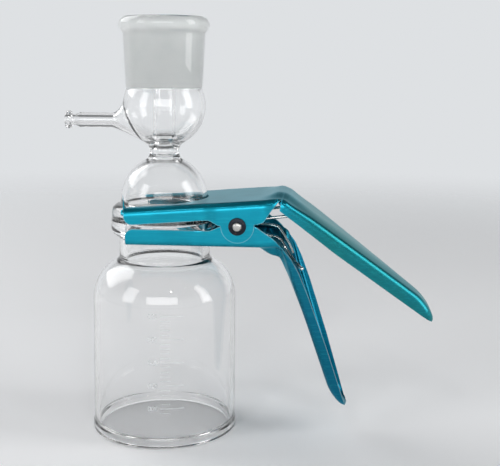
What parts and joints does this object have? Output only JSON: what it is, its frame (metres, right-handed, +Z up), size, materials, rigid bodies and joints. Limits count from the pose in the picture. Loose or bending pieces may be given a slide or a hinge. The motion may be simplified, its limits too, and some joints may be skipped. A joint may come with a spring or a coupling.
{
  "type": "vacuum filtration unit",
  "caption": "All-glass vacuum filter holder standing on the open mouth of its funnel, with a domed base, side arm, ground socket and a sprung hand clamp on its flanges.",
  "frame": {"origin": "centre of the funnel's open mouth, in the plane it stands on", "axes": "+Z up along the glass axis, +X toward the clamp's handles, -X along the vacuum arm, the clamp's hinge along Y"},
  "size_m": [0.1991, 0.0784, 0.2233],
  "materials": {
    "funnel_glass": "clear, polished",
    "base_glass": "clear, with a ground socket",
    "sintered_glass": "white, porous",
    "anodised_lower": "teal anodised, satin",
    "anodised_upper": "teal anodised, satin",
    "pin_steel": "bright",
    "ring_steel": "dark, oiled",
    "spring_steel": "bright wire"
  },
  "bodies": {
    "glassware": {"funnel": "funnel_glass", "filter_base": "base_glass", "frit_disc": "sintered_glass", "lower_lever": "anodised_lower", "pivot_pin": "pin_steel", "near_retaining_ring": "ring_steel", "far_retaining_ring": "ring_steel", "torsion_spring": "spring_steel"},
    "top_lever": {"upper_lever": "anodised_upper"}
  },
  "joints": [
    {"name": "clamp_hinge", "type": "hinge", "parent": "glassware", "child": "top_lever", "pos_m": [0.0427, 0, 0.1165], "axis": [0, 1, 0], "range_deg": [0, 20], "stiffness_Nm_per_rad": 2, "springref_deg": -34.38, "deforming": ["torsion_spring"]}
  ]
}
